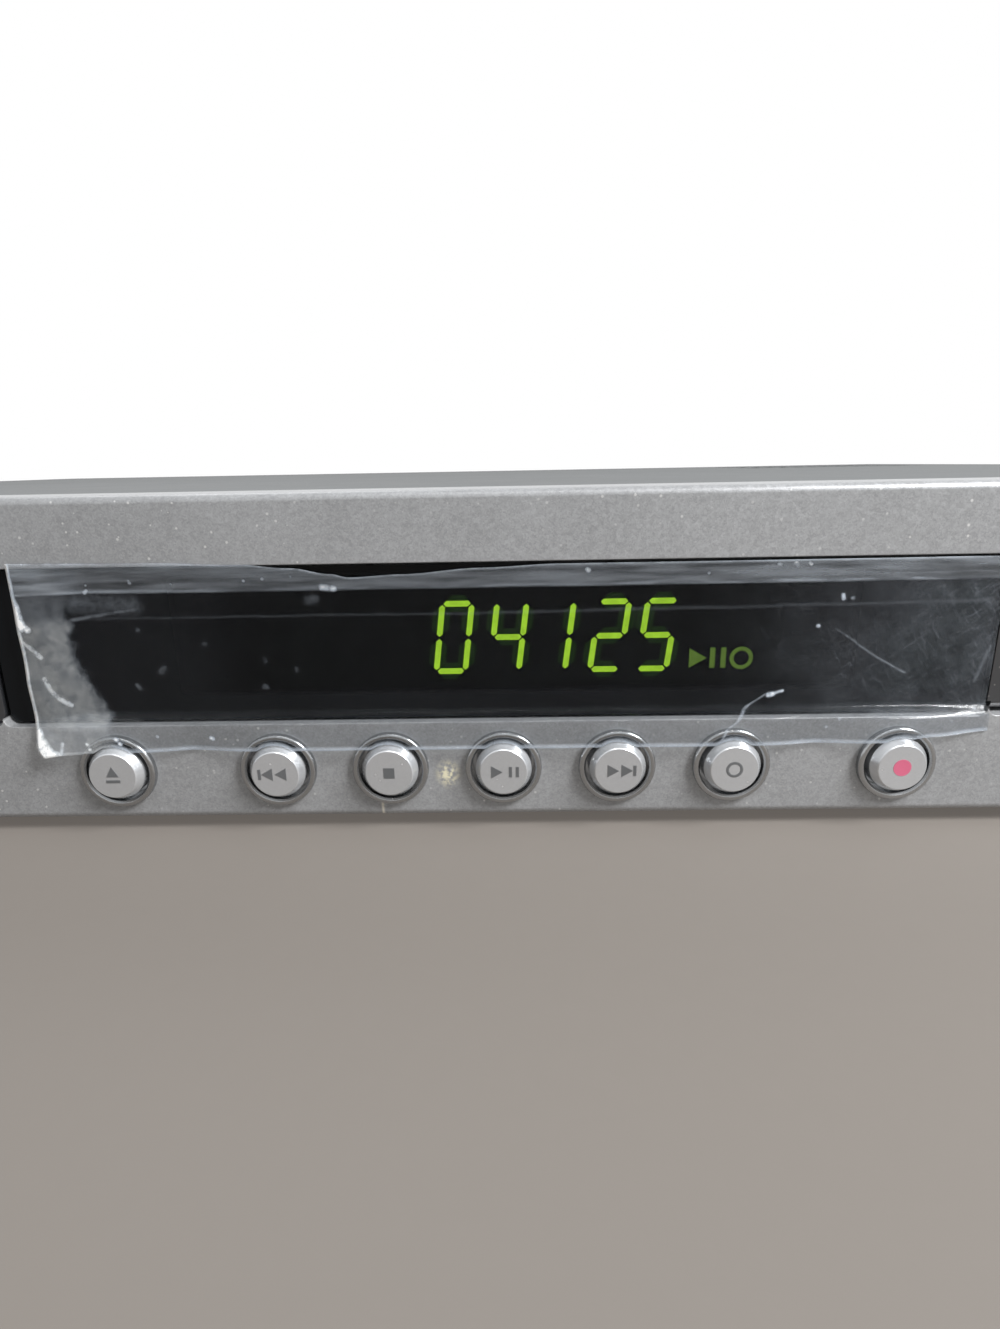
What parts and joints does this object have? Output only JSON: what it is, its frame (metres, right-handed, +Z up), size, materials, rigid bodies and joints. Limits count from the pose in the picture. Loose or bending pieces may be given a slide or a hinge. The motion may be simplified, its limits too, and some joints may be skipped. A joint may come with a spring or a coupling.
{
  "type": "disc player with tray",
  "caption": "Slim silver disc recorder with a motor-driven disc tray, a smoked display window, sprung push buttons and a hinged front socket door.",
  "frame": {"origin": "centre of the footprint, on the surface the feet stand on", "axes": "+X to the right seen from the front, +Y towards the rear, +Z up; the front faces -Y"},
  "size_m": [0.43, 0.294, 0.057],
  "materials": {
    "chassis_steel": "zinc-plated sheet steel, satin",
    "rear_steel": "zinc-plated sheet steel, satin",
    "cover_paint": "silver-grey painted sheet steel, fine satin texture",
    "bezel_silver": "silver metallic paint on moulded plastic, satin with fine sparkle",
    "foot_rubber": "moulded rubber",
    "screw_steel": "plated screws",
    "window_smoke": "smoked clear acrylic, polished",
    "film_clear": "thin clear protective film, scuffed",
    "tube_glass": "display tube glass over a dark grid",
    "digits_green": "lit phosphor segments",
    "rim_chrome": "bright plated plastic rim",
    "button_silver": "silver lacquered plastic, glossy sides",
    "board_green": "solder-masked fibreglass board",
    "switch_black": "moulded plastic and a steel top",
    "door_black": "high-gloss black moulded plastic",
    "bay_black": "moulded black plastic",
    "jack_mixed": "plated shells on coloured plastic bodies",
    "loader_black": "moulded black plastic",
    "bridge_steel": "pressed sheet steel",
    "puck_black": "moulded black plastic",
    "tray_grey": "moulded dark grey plastic, fine texture",
    "gear_white": "natural acetal",
    "belt_rubber": "square rubber belt",
    "motor_can": "plated motor can",
    "traverse_grey": "moulded dark grey plastic",
    "rod_steel": "ground steel",
    "turntable_black": "moulded plastic with a rubber ring",
    "carriage_metal": "die-cast body with a plastic cover",
    "lens_glass": "coated moulded lens in its holder",
    "chip_black": "moulded chips and small capacitors",
    "power_board_tan": "paper-based board",
    "winding_yellow": "taped ferrite transformer",
    "capacitor_blue": "sleeved electrolytic capacitors",
    "sink_aluminium": "extruded aluminium",
    "ribbon_white": "flat ribbon cable",
    "tuner_steel": "tinned steel can",
    "aerial_metal": "nickel-plated barrel",
    "phono_mixed": "plated shells on a plastic block",
    "socket_black": "moulded black plastic",
    "fan_black": "moulded black plastic"
  },
  "bodies": {
    "housing": {"base_chassis": "chassis_steel", "rear_panel": "rear_steel", "top_cover": "cover_paint", "front_bezel": "bezel_silver", "rubber_feet": "foot_rubber", "cover_screws": "screw_steel", "display_window": "window_smoke", "protective_film": "film_clear", "display_tube": "tube_glass", "display_digits": "digits_green", "button_rims": "rim_chrome", "front_boards": "board_green", "push_switches": "switch_black", "jack_bay": "bay_black", "front_jacks": "jack_mixed", "loader_frame": "loader_black", "loader_screws": "screw_steel", "clamp_bridge": "bridge_steel", "loading_belt": "belt_rubber", "loading_motor": "motor_can", "main_board": "board_green", "board_chips": "chip_black", "power_board": "power_board_tan", "transformer": "winding_yellow", "filter_capacitors": "capacitor_blue", "heat_sink": "sink_aluminium", "ribbon_cables": "ribbon_white", "tuner_can": "tuner_steel", "aerial_jacks": "aerial_metal", "phono_jacks": "phono_mixed", "video_jacks": "socket_black", "mains_inlet": "socket_black", "fan_frame": "fan_black", "board_screws": "screw_steel"},
    "tray": {"disc_tray": "tray_grey", "tray_door": "door_black"},
    "tray_gear": {"tray_gear": "gear_white"},
    "pulley_gear": {"pulley_gear": "gear_white"},
    "motor_pulley": {"motor_pulley": "gear_white"},
    "cam_slider": {"cam_slider": "gear_white"},
    "traverse": {"traverse_frame": "traverse_grey", "guide_rods": "rod_steel", "spindle_motor": "motor_can", "sled_motor": "motor_can"},
    "turntable": {"turntable": "turntable_black"},
    "clamp_puck": {"clamp_puck": "puck_black"},
    "pickup": {"pickup_carriage": "carriage_metal", "pickup_lens": "lens_glass"},
    "sled_gear": {"sled_gear": "gear_white"},
    "sled_pinion": {"sled_pinion": "gear_white"},
    "fan_rotor": {"fan_rotor": "fan_black"},
    "jack_door": {"jack_door": "door_black"},
    "eject_button": {"eject_button": "button_silver"},
    "previous_button": {"previous_button": "button_silver"},
    "stop_button": {"stop_button": "button_silver"},
    "play_pause_button": {"play_pause_button": "button_silver"},
    "next_button": {"next_button": "button_silver"},
    "repeat_button": {"repeat_button": "button_silver"},
    "record_button": {"record_button": "button_silver"},
    "power_button": {"power_button": "button_silver"}
  },
  "joints": [
    {"name": "tray_slide", "type": "slide", "parent": "housing", "child": "tray", "axis": [0, -1, 0], "range_m": [0, 0.142]},
    {"name": "tray_gear_spin", "type": "hinge", "parent": "housing", "child": "tray_gear", "pos_m": [-0.17425, -0.112, 0.031], "axis": [0, 0, 1], "range_deg": [0, 680]},
    {"name": "pulley_gear_spin", "type": "hinge", "parent": "housing", "child": "pulley_gear", "pos_m": [-0.15725, -0.112, 0.028], "axis": [0, 0, 1], "range_deg": [-1630, 0]},
    {"name": "motor_pulley_spin", "type": "hinge", "parent": "housing", "child": "motor_pulley", "pos_m": [-0.12325, -0.112, 0.025], "axis": [0, 0, 1], "range_deg": [-6402, 0]},
    {"name": "traverse_tilt", "type": "hinge", "parent": "housing", "child": "traverse", "pos_m": [-0.13425, 0.048, 0.026], "axis": [1, 0, 0], "range_deg": [0, 4.5]},
    {"name": "cam_slide", "type": "slide", "parent": "housing", "child": "cam_slider", "axis": [1, 0, 0], "range_m": [0, 0.018]},
    {"name": "turntable_spin", "type": "hinge", "parent": "traverse", "child": "turntable", "pos_m": [-0.13425, -0.066, 0.038], "axis": [0, 0, 1], "continuous": true},
    {"name": "clamp_puck_spin", "type": "hinge", "parent": "housing", "child": "clamp_puck", "pos_m": [-0.13425, -0.066, 0.045], "axis": [0, 0, 1], "continuous": true},
    {"name": "pickup_slide", "type": "slide", "parent": "traverse", "child": "pickup", "axis": [0, 1, 0], "range_m": [0, 0.036]},
    {"name": "sled_gear_spin", "type": "hinge", "parent": "traverse", "child": "sled_gear", "pos_m": [-0.16685, -0.024, 0.03], "axis": [0, 0, 1], "range_deg": [0, 370]},
    {"name": "sled_pinion_spin", "type": "hinge", "parent": "traverse", "child": "sled_pinion", "pos_m": [-0.16685, -0.0072, 0.027], "axis": [0, 0, 1], "range_deg": [-1180, 0]},
    {"name": "fan_spin", "type": "hinge", "parent": "housing", "child": "fan_rotor", "pos_m": [-0.13425, 0.13, 0.0293], "axis": [0, 1, 0], "continuous": true},
    {"name": "jack_door_hinge", "type": "hinge", "parent": "housing", "child": "jack_door", "pos_m": [0.15325, -0.1415, 0.0215], "axis": [1, 0, 0], "range_deg": [0, 90]},
    {"name": "eject_press", "type": "slide", "parent": "housing", "child": "eject_button", "axis": [0, 1, 0], "range_m": [0, 0.0006], "stiffness_N_per_m": 800, "springref_m": -0.0008},
    {"name": "previous_press", "type": "slide", "parent": "housing", "child": "previous_button", "axis": [0, 1, 0], "range_m": [0, 0.0006], "stiffness_N_per_m": 800, "springref_m": -0.0008},
    {"name": "stop_press", "type": "slide", "parent": "housing", "child": "stop_button", "axis": [0, 1, 0], "range_m": [0, 0.0006], "stiffness_N_per_m": 800, "springref_m": -0.0008},
    {"name": "play_pause_press", "type": "slide", "parent": "housing", "child": "play_pause_button", "axis": [0, 1, 0], "range_m": [0, 0.0006], "stiffness_N_per_m": 800, "springref_m": -0.0008},
    {"name": "next_press", "type": "slide", "parent": "housing", "child": "next_button", "axis": [0, 1, 0], "range_m": [0, 0.0006], "stiffness_N_per_m": 800, "springref_m": -0.0008},
    {"name": "repeat_press", "type": "slide", "parent": "housing", "child": "repeat_button", "axis": [0, 1, 0], "range_m": [0, 0.0006], "stiffness_N_per_m": 800, "springref_m": -0.0008},
    {"name": "record_press", "type": "slide", "parent": "housing", "child": "record_button", "axis": [0, 1, 0], "range_m": [0, 0.0006], "stiffness_N_per_m": 800, "springref_m": -0.0008},
    {"name": "power_press", "type": "slide", "parent": "housing", "child": "power_button", "axis": [0, 1, 0], "range_m": [0, 0.0006], "stiffness_N_per_m": 800, "springref_m": -0.0008}
  ],
  "couplings": [
    {"joint": "tray_gear_spin", "follows": "tray_slide", "rad_per_m": 83.333},
    {"joint": "pulley_gear_spin", "follows": "tray_slide", "rad_per_m": -200},
    {"joint": "motor_pulley_spin", "follows": "tray_slide", "rad_per_m": -786.67},
    {"joint": "cam_slide", "follows": "traverse_tilt", "m_per_rad": 0.22918},
    {"joint": "clamp_puck_spin", "follows": "turntable_spin", "ratio": 1},
    {"joint": "sled_gear_spin", "follows": "pickup_slide", "rad_per_m": 178.57},
    {"joint": "sled_pinion_spin", "follows": "pickup_slide", "rad_per_m": -571.43}
  ]
}
